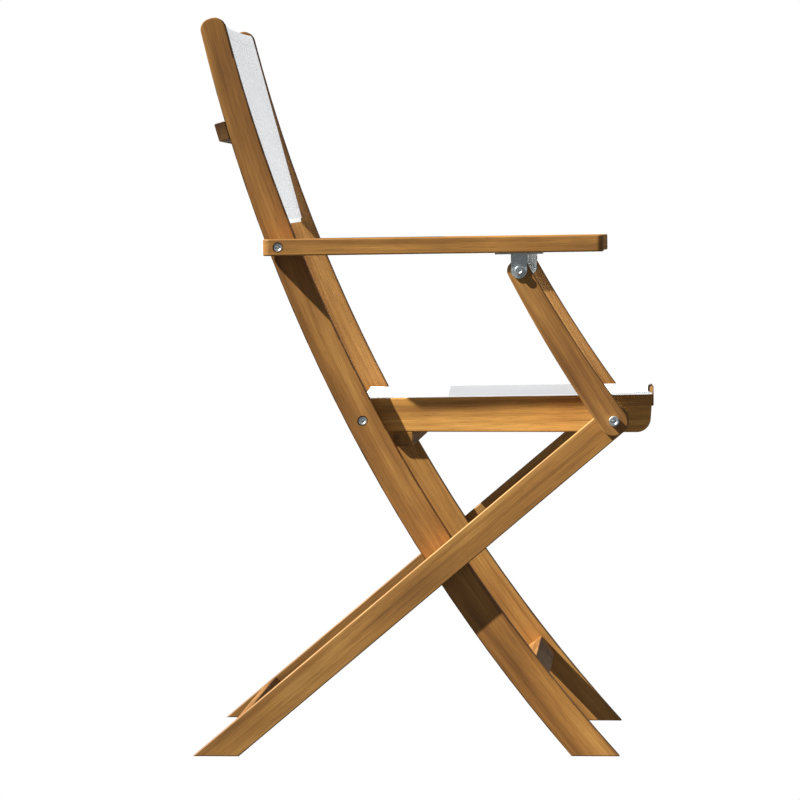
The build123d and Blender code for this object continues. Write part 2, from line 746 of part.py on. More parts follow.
def make_back_cords():
    """Cords that hold the back fabric's edges in the stiles' grooves."""
    with BuildPart() as cords:
        for side in SIDES.values():
            y = side * (STILE_IN + CORD_GROOVE[1] - CORD_R - CORD_LIFT)
            direction = (BACK_TOP[0] - BACK_BOTTOM[0], 0, BACK_TOP[1] - BACK_BOTTOM[1])
            with BuildSketch(Plane(origin=(BACK_BOTTOM[0], y, BACK_BOTTOM[1]), z_dir=direction)):
                Circle(CORD_R)
            extrude(amount=BACK_LENGTH)
    return cords


def make_guide_pins():
    """Pins pressed into the stiles' outer faces, which the guide shoes turn on."""
    with BuildPart() as pins:
        for side in SIDES.values():
            rod(side, STILE_OUT - DOWEL_DEPTH + 0.5, STILE_OUT + GAP - 0.4, GUIDE_PIN, GUIDE_PIN_R)
    return pins


M6_INSERT_R = M6_R + INSERT_WALL
M8_INSERT_R = M8_R + INSERT_WALL
EAR_OUTSIDE = SUPPORT_OUT + EAR_GAP + PLATE
EAR_INSIDE = SUPPORT_IN - EAR_GAP - PLATE

pieces = {
    "back_crossbar": make_back_crossbar(),
    "back_crossbar_screws": make_back_screws(),
    "back_fabric": make_back_fabric(),
    "back_fabric_cords": make_back_cords(),
    "front_foot_crossbar": make_dowelled_bar(
        STILE_IN, FRONT_FOOT_BAR_CENTRE, FRONT_FOOT_TURN, *FRONT_FOOT_BAR, FRONT_FOOT_DOWELS
    ),
    "front_foot_dowels": make_dowels(STILE_IN, FRONT_FOOT_DOWELS),
    "guide_pins": make_guide_pins(),
    "arm_pivot_bolts": make_pivot_bolts(
        STILE_IN + ARM_BOLT_START, ARM_OUT - COUNTERBORE_DEEP, ARM_PIVOT, M6_R, HEAD_R, HEAD_HIGH
    ),
    "arm_pivot_inserts": make_rings(
        STILE_IN + ARM_INSERT_START, STILE_OUT, ARM_PIVOT, M6_R + SLIP, M6_INSERT_R
    ),
    "arm_pivot_washers": make_washers(STILE_OUT, ARM_PIVOT, M6_R),
    "seat_front_bar": make_dowelled_bar(
        RAIL_IN, FRONT_BAR_CENTRE, 0, FRONT_BAR_HEIGHT, FRONT_BAR_DEPTH, [FRONT_BAR_CENTRE], SEAT_DOWEL_R
    ),
    "seat_front_bar_dowels": make_dowels(RAIL_IN, [FRONT_BAR_CENTRE], SEAT_DOWEL_R),
    "seat_rear_bar": make_rear_bar(),
    "seat_rear_bar_screws": make_rear_bar_screws(),
    "seat_fabric": make_seat_fabric(),
    "seat_fabric_cords": make_seat_cords(),
    "front_pivot_bolts": make_pivot_bolts(
        RAIL_IN + BOLT_START, SUPPORT_OUT + 0.3, FRONT_PIVOT, M8_R, FRONT_HEAD_R, FRONT_HEAD_HIGH
    ),
    "front_pivot_inserts": make_rings(
        RAIL_IN + INSERT_START, RAIL_OUT, FRONT_PIVOT, M8_R + SLIP, M8_INSERT_R
    ),
    "front_pivot_spacers": make_rings(
        RAIL_OUT + 0.05, LEG_IN - 0.1, FRONT_PIVOT, M8_R + RUN, SPACER_R
    ),
    "front_pivot_washers": make_washers(LEG_OUT, FRONT_PIVOT, M8_R),
    "rear_pivot_bolts": make_pivot_bolts(
        RAIL_IN + BOLT_START, STILE_OUT - COUNTERBORE_DEEP + 0.1, REAR_PIVOT, M6_R, HEAD_R, HEAD_HIGH
    ),
    "rear_pivot_inserts": make_rings(
        RAIL_IN + INSERT_START, RAIL_OUT, REAR_PIVOT, M6_R + SLIP, M6_INSERT_R
    ),
    "rear_pivot_washers": make_washers(RAIL_OUT, REAR_PIVOT, M6_R),
    "rear_foot_crossbar": make_dowelled_bar(
        LEG_IN, REAR_FOOT_BAR_CENTRE, LEG_TURN, BAR_THIN, BAR_WIDE, REAR_FOOT_DOWELS
    ),
    "rear_foot_dowels": make_dowels(LEG_IN, REAR_FOOT_DOWELS),
    "guide_shoes": make_guide_shoes(),
}

for word, sign in SIDES.items():
    pieces["stile_" + word] = make_stile(sign)
    pieces["seat_rail_" + word] = make_rail(sign)
    pieces["leg_" + word] = make_leg(sign)
    pieces["arm_support_" + word] = make_support(sign)
    pieces["armrest_" + word] = make_armrest(sign)
    pieces["arm_bracket_" + word] = make_bracket(sign)
    pieces["bracket_screws_" + word] = make_bracket_screws(sign)
    pieces["bracket_bolt_" + word] = make_bolt(
        sign, EAR_INSIDE - BRACKET_TIP, EAR_OUTSIDE, BRACKET_PIVOT, M6_R, BRACKET_HEAD_R, HEAD_HIGH
    )
    pieces["bracket_nut_" + word] = make_nut(
        sign, EAR_INSIDE - NUT_HIGH, EAR_INSIDE, BRACKET_PIVOT, M6_R + SLIP
    )

os.makedirs("parts", exist_ok=True)
for name, piece in pieces.items():
    piece.part.label = name
    export_step(piece.part, "parts/" + name + ".step")
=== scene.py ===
import json
import math

import bmesh
import bpy
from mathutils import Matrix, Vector


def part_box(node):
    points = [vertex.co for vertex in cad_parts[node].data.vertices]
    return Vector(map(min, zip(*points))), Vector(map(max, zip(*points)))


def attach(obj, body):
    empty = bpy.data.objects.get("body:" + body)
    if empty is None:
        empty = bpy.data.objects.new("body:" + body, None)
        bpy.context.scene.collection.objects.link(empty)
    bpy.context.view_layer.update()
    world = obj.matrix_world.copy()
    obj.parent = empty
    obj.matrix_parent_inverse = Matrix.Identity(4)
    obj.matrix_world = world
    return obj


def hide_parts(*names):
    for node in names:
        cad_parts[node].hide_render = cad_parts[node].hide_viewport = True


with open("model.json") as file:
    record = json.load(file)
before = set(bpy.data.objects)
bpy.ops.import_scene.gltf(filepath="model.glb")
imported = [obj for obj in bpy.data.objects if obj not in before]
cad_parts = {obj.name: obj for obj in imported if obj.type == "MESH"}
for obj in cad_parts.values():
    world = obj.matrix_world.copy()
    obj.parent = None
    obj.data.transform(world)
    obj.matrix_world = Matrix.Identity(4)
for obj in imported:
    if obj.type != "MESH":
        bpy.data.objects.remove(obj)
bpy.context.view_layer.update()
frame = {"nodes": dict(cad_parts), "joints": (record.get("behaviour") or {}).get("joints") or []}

NODES = frame["nodes"]
JOINTS = {joint["name"]: joint for joint in frame["joints"]}
SIDES = {"right": -1, "left": 1}


def middle(node):
    """Centre of a node's box."""
    low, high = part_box(node)
    return (Vector(low) + Vector(high)) / 2


# ---------------------------------------------------------------------------
# Places, worked out from the frame. Metres; +X front, +Y occupant's left, +Z up.

FRONT_PIVOT = Vector(JOINTS["legs_fold"]["pos_m"])
REAR_PIVOT = Vector(JOINTS["seat_fold"]["pos_m"])
ARM_PIVOT = Vector(JOINTS["arm_fold_right"]["pos_m"])
BRACKET_PIVOT = middle("bracket_bolt_left")
STILE_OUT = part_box("stile_left")[1][1]
STILE_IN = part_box("stile_left")[0][1]
RAIL_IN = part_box("seat_rail_left")[0][1]
SUPPORT_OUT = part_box("arm_support_left")[1][1]
ARM_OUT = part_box("armrest_left")[1][1]


# ---------------------------------------------------------------------------
# Camera and light.

# The eye stands far off the right side, level with the armrests, and a little to the front.
EYE = Vector((0.269, -6.405, 0.630))
YAW_DEG = 2.763
PITCH_DEG = 1.90
SENSOR = 36.0
LENS = 233.2


def make_camera():
    data = bpy.data.cameras.new("camera")
    data.sensor_width = SENSOR
    data.lens = LENS
    data.clip_end = 100.0
    camera = bpy.data.objects.new("camera", data)
    bpy.context.scene.collection.objects.link(camera)
    camera.location = EYE
    camera.rotation_euler = (math.radians(90 - PITCH_DEG), 0.0, math.radians(YAW_DEG))
    bpy.context.scene.camera = camera


SUN_TOWARD = (0.67, 0.28, -0.69)
SUN_POWER = 7.6
SUN_SPREAD_DEG = 0.9
AMBIENT = 0.17


def make_sun():
    """Sunlight from above and behind the chair, a little from the viewer's side."""
    data = bpy.data.lights.new("sun", "SUN")
    data.energy = SUN_POWER
    data.angle = math.radians(SUN_SPREAD_DEG)
    data.color = (1.0, 0.985, 0.955)
    sun = bpy.data.objects.new("sun", data)
    bpy.context.scene.collection.objects.link(sun)
    sun.rotation_euler = Vector(SUN_TOWARD).to_track_quat("-Z", "Y").to_euler()


CLOTH_FILL_TOWARD = (-0.50, 0.45, -0.74)
CLOTH_FILL_POWER = 3.3


def make_cloth_fill(pieces):
    """Soft light that reaches only the cloth, which stays white even in the armrest's shade."""
    data = bpy.data.lights.new("cloth_fill", "SUN")
    data.energy = CLOTH_FILL_POWER
    data.angle = math.radians(40.0)
    data.color = (0.97, 0.985, 1.0)
    data.use_shadow = False
    fill = bpy.data.objects.new("cloth_fill", data)
    bpy.context.scene.collection.objects.link(fill)
    fill.rotation_euler = Vector(CLOTH_FILL_TOWARD).to_track_quat("-Z", "Y").to_euler()
    receivers = bpy.data.collections.new("lit_by_cloth_fill")
    for piece in pieces:
        receivers.objects.link(piece)
    fill.light_linking.receiver_collection = receivers


def make_world():
    """Weak even light from all round, in front of a plain white background."""
    world = bpy.data.worlds.new("studio")
    world.use_nodes = True
    tree = world.node_tree
    ambient = tree.nodes["Background"]
    ambient.inputs["Color"].default_value = (0.93, 0.97, 1.0, 1.0)
    ambient.inputs["Strength"].default_value = AMBIENT
    white = tree.nodes.new("ShaderNodeBackground")
    white.inputs["Color"].default_value = (1.0, 1.0, 1.0, 1.0)
    white.inputs["Strength"].default_value = 1.0
    path = tree.nodes.new("ShaderNodeLightPath")
    choice = tree.nodes.new("ShaderNodeMixShader")
    tree.links.new(path.outputs["Is Camera Ray"], choice.inputs[0])
    tree.links.new(ambient.outputs[0], choice.inputs[1])
    tree.links.new(white.outputs[0], choice.inputs[2])
    tree.links.new(choice.outputs[0], tree.nodes["World Output"].inputs["Surface"])
    bpy.context.scene.world = world


# ---------------------------------------------------------------------------
# Node helpers.


class Graph:
    """Short way to add and link shader nodes in one material."""

    def __init__(self, name):
        self.material = bpy.data.materials.new(name)
        self.material.use_nodes = True
        self.tree = self.material.node_tree
        self.shader = self.tree.nodes["Principled BSDF"]

    def link(self, source, target):
        self.tree.links.new(source, target)

    def node(self, kind, **values):
        made = self.tree.nodes.new(kind)
        for key, value in values.items():
            if hasattr(made, key):
                setattr(made, key, value)
            else:
                made.inputs[key.replace("_", " ")].default_value = value
        return made

    def math(self, operation, a, b=None, c=None):
        made = self.tree.nodes.new("ShaderNodeMath")
        made.operation = operation
        for socket, value in zip(made.inputs, (a, b, c)):
            if value is None:
                continue
            if isinstance(value, (int, float)):
                socket.default_value = value
            else:
                self.link(value, socket)
        return made.outputs[0]

    def combine(self, x, y, z):
        made = self.tree.nodes.new("ShaderNodeCombineXYZ")
        for socket, value in zip(made.inputs, (x, y, z)):
            if isinstance(value, (int, float)):
                socket.default_value = value
            else:
                self.link(value, socket)
        return made.outputs[0]

    def noise(self, vector, scale, detail=2.0, roughness=0.5, distortion=0.0):
        made = self.tree.nodes.new("ShaderNodeTexNoise")
        made.inputs["Scale"].default_value = scale
        made.inputs["Detail"].default_value = detail
        made.inputs["Roughness"].default_value = roughness
        made.inputs["Distortion"].default_value = distortion
        self.link(vector, made.inputs["Vector"])
        return made.outputs["Fac"]

    def ramp(self, value, stops):
        made = self.tree.nodes.new("ShaderNodeValToRGB")
        ramp = made.color_ramp
        while len(ramp.elements) < len(stops):
            ramp.elements.new(0.5)
        for element, (place, color) in zip(ramp.elements, stops):
            element.position = place
            element.color = (*color, 1.0)
        self.link(value, made.inputs["Fac"])
        return made.outputs["Color"]

    def spread(self, value, low, high, to_low=0.0, to_high=1.0):
        made = self.tree.nodes.new("ShaderNodeMapRange")
        made.inputs["From Min"].default_value = low
        made.inputs["From Max"].default_value = high
        made.inputs["To Min"].default_value = to_low
        made.inputs["To Max"].default_value = to_high
        self.link(value, made.inputs["Value"])
        return made.outputs["Result"]

    def mix(self, factor, a, b, blend="MIX"):
        made = self.tree.nodes.new("ShaderNodeMix")
        made.data_type = "RGBA"
        made.blend_type = blend
        made.clamp_factor = True
        for name, value in (("Factor", factor), ("A", a), ("B", b)):
            sockets = [s for s in made.inputs if s.name == name and s.enabled]
            socket = sockets[0]
            if isinstance(value, (int, float)):
                socket.default_value = value
            elif isinstance(value, tuple):
                socket.default_value = (*value, 1.0)
            else:
                self.link(value, socket)
        return [s for s in made.outputs if s.enabled][0]

    def bump(self, height, strength, distance):
        made = self.tree.nodes.new("ShaderNodeBump")
        made.inputs["Strength"].default_value = strength
        made.inputs["Distance"].default_value = distance
        self.link(height, made.inputs["Height"])
        self.link(made.outputs["Normal"], self.shader.inputs["Normal"])


# ---------------------------------------------------------------------------
# Materials.

WOOD_DARK = (0.175, 0.070, 0.016)
WOOD_MID = (0.400, 0.180, 0.043)
WOOD_LIGHT = (0.620, 0.325, 0.092)
STREAK = (0.150, 0.050, 0.014)


def wood(name, grain_deg, seed, tone=1.0, bend=0.0, centre=(0.0, 0.0), fade=None, tint=(1.0, 1.0, 1.0)):
    """Oiled acacia. grain_deg is the grain's direction seen from the side, or None for a crossbar.

    bend curves the grain with the board: it is one over the curve's radius. fade is (low z, high z,
    shade at the low end, shade at the high end), for a board that is darker at one end."""
    graph = Graph(name)
    place = graph.node("ShaderNodeTexCoord").outputs["Object"]
    split = graph.node("ShaderNodeSeparateXYZ")
    graph.link(place, split.inputs[0])
    x, y, z = split.outputs
    height = z
    if grain_deg is None:
        run, across, through = y, x, z
    else:
        angle = math.radians(grain_deg)
        x = graph.math("SUBTRACT", x, centre[0])
        z = graph.math("SUBTRACT", z, centre[1])
        run = graph.math("MULTIPLY_ADD", x, math.cos(angle), graph.math("MULTIPLY", z, math.sin(angle)))
        across = graph.math("MULTIPLY_ADD", x, -math.sin(angle), graph.math("MULTIPLY", z, math.cos(angle)))
        through = y
        if bend:
            square = graph.math("MULTIPLY", graph.math("MULTIPLY", run, run), bend / 2)
            across = graph.math("SUBTRACT", across, square)
    across = graph.math("ADD", across, seed * 0.731)
    through = graph.math("ADD", through, seed * 1.317)

    def stretched(along, wide):
        return graph.combine(
            graph.math("MULTIPLY", run, along),
            graph.math("MULTIPLY", across, wide),
            graph.math("MULTIPLY", through, wide),
        )

    # Broad bands along the board, wavy annual lines, and patches where the grain tilts.
    bands = graph.noise(stretched(1.6, 26.0), 1.0, 3.0, 0.55, 0.6)
    lines = graph.noise(stretched(3.0, 150.0), 1.0, 3.0, 0.6, 0.8)
    patches = graph.noise(stretched(7.0, 16.0), 1.0, 2.0, 0.5)
    fibres = graph.noise(stretched(28.0, 1100.0), 1.0, 2.0, 0.6)
    streaks = graph.noise(stretched(4.5, 75.0), 1.0, 2.0, 0.5, 0.4)
    pores = graph.noise(stretched(70.0, 1700.0), 1.0, 1.0, 0.5)
    value = graph.math("MULTIPLY_ADD", bands, 0.50, graph.math("MULTIPLY", lines, 0.24))
    value = graph.math("MULTIPLY_ADD", patches, 0.26, value)
    color = graph.ramp(
        value, [(0.36, WOOD_DARK), (0.50, WOOD_MID), (0.64, WOOD_LIGHT)]
    )
    streak = graph.spread(streaks, 0.60, 0.74)
    color = graph.mix(graph.math("MULTIPLY", streak, 0.42), color, STREAK)
    fibre = graph.spread(fibres, 0.30, 0.70, 0.80, 1.16)
    pore = graph.spread(pores, 0.62, 0.72, 1.0, 0.70)
    shade = graph.math("MULTIPLY", graph.math("MULTIPLY", fibre, pore), tone)
    if fade:
        shade = graph.math("MULTIPLY", shade, graph.spread(height, *fade))
    shades = [graph.math("MULTIPLY", shade, part) for part in tint]
    color = graph.mix(1.0, color, graph.combine(*shades), "MULTIPLY")
    graph.link(color, graph.shader.inputs["Base Color"])
    gloss = graph.math("MULTIPLY_ADD", patches, -0.18, graph.spread(fibres, 0.3, 0.7, 0.66, 0.54))
    graph.link(gloss, graph.shader.inputs["Roughness"])
    graph.shader.inputs["Specular IOR Level"].default_value = 0.42
    relief = graph.math("MULTIPLY_ADD", pores, -0.5, graph.math("MULTIPLY", fibres, 0.6))
    relief = graph.math("MULTIPLY_ADD", lines, 0.4, relief)
    graph.bump(relief, 0.35, 0.00025)
    return graph.material


def zinc():
    """Zinc-plated steel: bright, slightly blue, with a crystalline mottle."""
    graph = Graph("zinc_steel")
    place = graph.node("ShaderNodeTexCoord").outputs["Object"]
    mottle = graph.noise(place, 260.0, 3.0, 0.6)
    grain = graph.noise(place, 2400.0, 2.0, 0.5)
    color = graph.ramp(mottle, [(0.35, (0.60, 0.66, 0.68)), (0.65, (0.84, 0.89, 0.91))])
    graph.link(color, graph.shader.inputs["Base Color"])
    graph.shader.inputs["Metallic"].default_value = 1.0
    graph.link(graph.spread(mottle, 0.3, 0.7, 0.36, 0.52), graph.shader.inputs["Roughness"])
    graph.bump(grain, 0.12, 0.0001)
    return graph.material


def plastic(name, color, roughness):
    """Moulded plastic with a fine eggshell surface."""
    graph = Graph(name)
    place = graph.node("ShaderNodeTexCoord").outputs["Object"]
    speckle = graph.noise(place, 900.0, 2.0, 0.5)
    shade = graph.spread(speckle, 0.3, 0.7, 0.94, 1.04)
    tinted = graph.mix(1.0, color, graph.combine(shade, shade, shade), "MULTIPLY")
    graph.link(tinted, graph.shader.inputs["Base Color"])
    graph.shader.inputs["Roughness"].default_value = roughness
    graph.bump(speckle, 0.10, 0.0001)
    return graph.material


# Width of one yarn, and the cloth's own color.
THREAD = 0.0011
CLOTH_WHITE = (0.93, 0.935, 0.94)


def weave(name):
    """Coated yarn in a plain weave: bump, and painted shade that darkens each thread where it dips under
    the next.
    """
    graph = Graph(name)
    uv = graph.node("ShaderNodeUVMap", uv_map="cloth").outputs["UV"]
    split = graph.node("ShaderNodeSeparateXYZ")
    graph.link(uv, split.inputs[0])
    turn = math.tau / (2 * THREAD)
    warp = graph.math("SINE", graph.math("MULTIPLY", split.outputs["X"], turn))
    weft = graph.math("SINE", graph.math("MULTIPLY", split.outputs["Y"], turn))
    over = graph.math("MULTIPLY", warp, weft)
    height = graph.spread(over, -1.0, 1.0)
    place = graph.node("ShaderNodeTexCoord").outputs["Object"]
    cloud = graph.noise(place, 9.0, 3.0, 0.5)
    across_yarn = graph.math("MULTIPLY", split.outputs["X"], 900.0)
    along_yarn = graph.math("MULTIPLY", split.outputs["Y"], 40.0)
    slub = graph.noise(graph.combine(across_yarn, along_yarn, 0.0), 1.0, 2.0, 0.5)
    # Painted shade: the yarn is made darker where it dips under the crossing thread, down to 0.90 at the
    # lowest point.
    dip_painted_shade = graph.spread(height, 0.0, 1.0, 0.90, 1.0)
    cloud_shade = graph.spread(cloud, 0.3, 0.7, 0.97, 1.02)
    slub_shade = graph.spread(slub, 0.3, 0.7, 0.975, 1.015)
    shade = graph.math("MULTIPLY", dip_painted_shade, cloud_shade)
    shade = graph.math("MULTIPLY", shade, slub_shade)
    color = graph.mix(1.0, CLOTH_WHITE, graph.combine(shade, shade, shade), "MULTIPLY")
    graph.link(color, graph.shader.inputs["Base Color"])
    graph.shader.inputs["Roughness"].default_value = 0.62
    graph.shader.inputs["Sheen Weight"].default_value = 0.15
    graph.bump(height, 0.35, 0.0004)
    return graph.material


def thread_material():
    """Twisted white sewing thread."""
    graph = Graph("stitch_thread")
    place = graph.node("ShaderNodeTexCoord").outputs["Object"]
    twist = graph.noise(place, 1800.0, 2.0, 0.5)
    shade = graph.spread(twist, 0.3, 0.7, 0.85, 1.05)
    color = graph.mix(1.0, (0.78, 0.78, 0.77), graph.combine(shade, shade, shade), "MULTIPLY")
    graph.link(color, graph.shader.inputs["Base Color"])
    graph.shader.inputs["Roughness"].default_value = 0.7
    graph.bump(twist, 0.2, 0.0002)
    return graph.material


# ---------------------------------------------------------------------------
# Mesh helpers.

# Points round a bolt head or a nut, points round a shank, and steps of a head's rounded rim.
HEAD_TURNS = 48
SHANK_TURNS = 24
RIM_STEPS = 6


def add_object(name, mesh, material, body):
    """Put a mesh in the scene as a piece that rides on one CAD body."""
    piece = bpy.data.objects.new(name, mesh)
    bpy.context.scene.collection.objects.link(piece)
    mesh.materials.clear()
    mesh.materials.append(material)
    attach(piece, body)
    return piece


def smooth(mesh, angle_deg):
    """Smooth shading, with creases kept sharp."""
    mesh.shade_smooth()
    mesh.set_sharp_from_angle(angle=math.radians(angle_deg))


def sheet_mesh(name, surface, across, length, cuts, thick):
    """Closed sheet over surface(u, v) -> (point, normal); u and v run from 0 to 1.

    The UV map "cloth" holds the flat cloth's own metres."""
    wide, long = cuts
    mesh = bpy.data.meshes.new(name)
    bm = bmesh.new()
    layer = bm.loops.layers.uv.new("cloth")
    rows = []
    for side in (0.5, -0.5):
        grid = []
        for j in range(long + 1):
            line = []
            for i in range(wide + 1):
                point, normal = surface(i / wide, j / long)
                line.append(bm.verts.new(point + normal * thick * side))
            grid.append(line)
        rows.append(grid)

    def quad(verts, places):
        face = bm.faces.new(verts)
        for loop, (u, v) in zip(face.loops, places):
            loop[layer].uv = (u * across, v * length)

    for grid, flip in zip(rows, (False, True)):
        for j in range(long):
            for i in range(wide):
                spots = [(i, j), (i + 1, j), (i + 1, j + 1), (i, j + 1)]
                if flip:
                    spots.reverse()
                quad([grid[b][a] for a, b in spots], [(a / wide, b / long) for a, b in spots])
    front, back = rows
    rim = [(i, 0) for i in range(wide)] + [(wide, j) for j in range(long)]
    rim += [(i, long) for i in range(wide, 0, -1)] + [(0, j) for j in range(long, 0, -1)]
    for index, (i, j) in enumerate(rim):
        k, l = rim[(index + 1) % len(rim)]
        quad(
            [front[l][k], front[j][i], back[j][i], back[l][k]],
            [(k / wide, l / long), (i / wide, j / long), (i / wide, j / long), (k / wide, l / long)],
        )
    bmesh.ops.recalc_face_normals(bm, faces=bm.faces)
    bm.to_mesh(mesh)
    bm.free()
    smooth(mesh, 50.0)
    return mesh


def add_ring(bm, centre, axis, radii, distance):
    """Ring of points round an axis; radii holds one distance from the axis for each point."""
    side = axis.orthogonal().normalized()
    other = axis.cross(side)
    ring = []
    for k, radius in enumerate(radii):
        angle = math.tau * k / len(radii)
        spoke = side * math.cos(angle) + other * math.sin(angle)
        ring.append(bm.verts.new(centre + spoke * radius + axis * distance))
    return ring


def bridge(bm, low, high):
    """Faces between two rings with the same number of points."""
    for k in range(len(low)):
        following = (k + 1) % len(low)
        bm.faces.new((low[k], low[following], high[following], high[k]))


def cap(bm, tip, ring, outward):
    """Faces from a ring to one point on its axis."""
    for k in range(len(ring)):
        following = (k + 1) % len(ring)
        if outward:
            bm.faces.new((ring[k], ring[following], tip))
        else:
            bm.faces.new((tip, ring[following], ring[k]))


def lathe(bm, profile, centre, axis, turns):
    """Add a closed turned shape: profile is (radius, distance along the axis), between two points on it."""
    first = bm.verts.new(centre + axis * profile[0][1])
    rings = [add_ring(bm, centre, axis, [radius] * turns, distance) for radius, distance in profile[1:-1]]
    last = bm.verts.new(centre + axis * profile[-1][1])
    cap(bm, first, rings[0], False)
    for low, high in zip(rings, rings[1:]):
        bridge(bm, low, high)
    cap(bm, last, rings[-1], True)


def hex_radii(radius, turns):
    """Distances of a hexagon's edge from its middle, at equal angles."""
    inner = radius * math.cos(math.pi / 6)
    angles = [(math.tau * k / turns) % (math.pi / 3) - math.pi / 6 for k in range(turns)]
    return [inner / math.cos(angle) for angle in angles]


def socket_head(bm, centre, axis, head_r, head_high, socket_r, socket_deep, rounding):
    """Cap screw head: rounded rim, flat top and a hexagon socket. centre is under the head."""
    hexagon = hex_radii(socket_r, HEAD_TURNS)
    lip = socket_r * 1.12
    outline = [([head_r] * HEAD_TURNS, 0.0)]
    for step in range(RIM_STEPS + 1):
        angle = math.pi / 2 * step / RIM_STEPS
        radius = head_r - rounding * (1 - math.cos(angle))
        outline.append(([radius] * HEAD_TURNS, head_high - rounding * (1 - math.sin(angle))))
    outline.append(([lip + 0.0004] * HEAD_TURNS, head_high))
    outline.append(([lip] * HEAD_TURNS, head_high - 0.0003))
    outline.append((hexagon, head_high - 0.0006))
    outline.append((hexagon, head_high - socket_deep))
    outline.append(([socket_r * 0.35] * HEAD_TURNS, head_high - socket_deep - 0.0008))
    rings = [add_ring(bm, centre, axis, radii, distance) for radii, distance in outline]
    for low, high in zip(rings, rings[1:]):
        bridge(bm, low, high)
    bm.faces.new(rings[-1])
    bm.faces.new(list(reversed(rings[0])))


def threaded_rod(bm, start, axis, length, radius, pitch):
    """Shank with rolled rings of thread, closed at both ends."""
    profile = [(0.0, 0.0), (radius * 0.85, 0.0)]
    count = int(length / pitch)
    for k in range(count):
        profile.append((radius * 0.88, (k + 0.1) * pitch))
        profile.append((radius, (k + 0.5) * pitch))
    profile += [(radius * 0.86, length), (0.0, length)]
    lathe(bm, profile, start, axis, SHANK_TURNS)


def finish_mesh(name, bm, angle_deg=35.0):
    """Turn the built faces into a mesh with smooth shading."""
    bmesh.ops.recalc_face_normals(bm, faces=bm.faces)
    mesh = bpy.data.meshes.new(name)
    bm.to_mesh(mesh)
    bm.free()
    smooth(mesh, angle_deg)
    return mesh


# ---------------------------------------------------------------------------
# Hardware. Sizes are in metres.

# Shank and head radius, head height and socket radius of the pivot bolts.
M6_R = 0.0030
M6_HEAD_R = 0.0055
M6_SOCKET_R = 0.0028
HEAD_HIGH = 0.0045
M8_R = 0.0040
M8_HEAD_R = 0.00615
M8_SOCKET_R = 0.0029
M8_HEAD_HIGH = 0.0060
# Distance between two rings of thread, and the gap between a shank and its head.
BOLT_PITCH = 0.00125
SHANK_GAP = 0.0001
# How deep the sunk heads sit, how far the front pivot's heads stand out, and where the tips end.
ARM_HEAD_DEEP = 0.0055
REAR_HEAD_DEEP = 0.0054
FRONT_HEAD_OUT = 0.0003
STILE_TIP_IN = 0.004
RAIL_TIP_IN = 0.002
# The bolt and nut of an armrest's bracket.
BRACKET_PITCH = 0.0010
BRACKET_HEAD_R = 0.0050
BRACKET_SOCKET = 0.0026
BRACKET_ROUNDING = 0.0009
NUT_R = 0.0056
NUT_DEEP = 0.0042
NUT_HOLE = 0.0031
NUT_CHAMFER_R = 0.0036


def on_axis(pivot, y):
    """Point on a pivot's axis, at a distance to the side."""
    return Vector((pivot.x, y, pivot.z))


def make_bolts(name, node, pivot, seat_y, tip_y, head_r, head_high, shank_r, socket_r, body, material):
    """Socket bolts on both sides that stand for one CAD node."""
    bm = bmesh.new()
    for sign in SIDES.values():
        out = Vector((0, sign, 0))
        seat = on_axis(pivot, sign * seat_y)
        tip = on_axis(pivot, sign * tip_y)
        socket_head(bm, seat, out, head_r, head_high, socket_r, head_high * 0.6, head_r * 0.16)
        threaded_rod(bm, tip, out, seat_y - tip_y - SHANK_GAP, shank_r, BOLT_PITCH)
    piece = add_object(name, finish_mesh(name, bm), material, body)
    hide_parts(node)


def make_bracket_bolt(word, sign, outer, material):
    """The bolt through one bracket's ears; outer is the outer ear's face."""
    bolt_low, bolt_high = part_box("bracket_bolt_" + word)
    tip_y = min(abs(bolt_low[1]), abs(bolt_high[1]))
    out = Vector((0, sign, 0))
    bm = bmesh.new()
    seat = on_axis(BRACKET_PIVOT, sign * outer)
    socket_head(
        bm, seat, out, BRACKET_HEAD_R, HEAD_HIGH, BRACKET_SOCKET, BRACKET_SOCKET, BRACKET_ROUNDING
    )
    tip = on_axis(BRACKET_PIVOT, sign * tip_y)
    threaded_rod(bm, tip, out, outer - tip_y - SHANK_GAP, M6_R, BRACKET_PITCH)
    name = "bolt_of_bracket_" + word
    piece = add_object(name, finish_mesh(name, bm), material, "arm_" + word)
    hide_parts("bracket_bolt_" + word)


def make_bracket_nut(word, sign, inner, material):
    """Hexagon nut with chamfered corners, against the inner ear's face."""
    hexagon = hex_radii(NUT_R, HEAD_TURNS)
    chamfered = [min(radius, NUT_R * 0.90) for radius in hexagon]
    hole = [NUT_HOLE] * HEAD_TURNS
    mouth = [NUT_CHAMFER_R] * HEAD_TURNS
    outline = (
        (hole, 0.0005),
        (mouth, 0.0),
        (chamfered, 0.0),
        (hexagon, 0.0006),
        (hexagon, 0.0036),
        (chamfered, 0.0041),
        (mouth, 0.0041),
        (hole, 0.0036),
    )
    base = on_axis(BRACKET_PIVOT, sign * (inner - NUT_DEEP))
    bm = bmesh.new()
    rings = [add_ring(bm, base, Vector((0, sign, 0)), radii, distance) for radii, distance in outline]
    for low, high in zip(rings, rings[1:] + rings[:1]):
        bridge(bm, low, high)
    name = "nut_of_bracket_" + word
    piece = add_object(name, finish_mesh(name, bm, 25.0), material, "arm_" + word)
    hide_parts("bracket_nut_" + word)


def make_bracket_hardware(word, sign, material):
    """Bolt and nut of one armrest's bracket."""
    low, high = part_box("arm_bracket_" + word)
    make_bracket_bolt(word, sign, max(abs(low[1]), abs(high[1])), material)
    make_bracket_nut(word, sign, min(abs(low[1]), abs(high[1])), material)


# ---------------------------------------------------------------------------
# Fabric.

RAIL_LOW, RAIL_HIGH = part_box("seat_rail_left")
FRONT_BAR_LOW, FRONT_BAR_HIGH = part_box("seat_front_bar")
SEAT_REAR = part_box("seat_fabric")[0][0]
BACK_CORD_LOW, BACK_CORD_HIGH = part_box("back_fabric_cords")

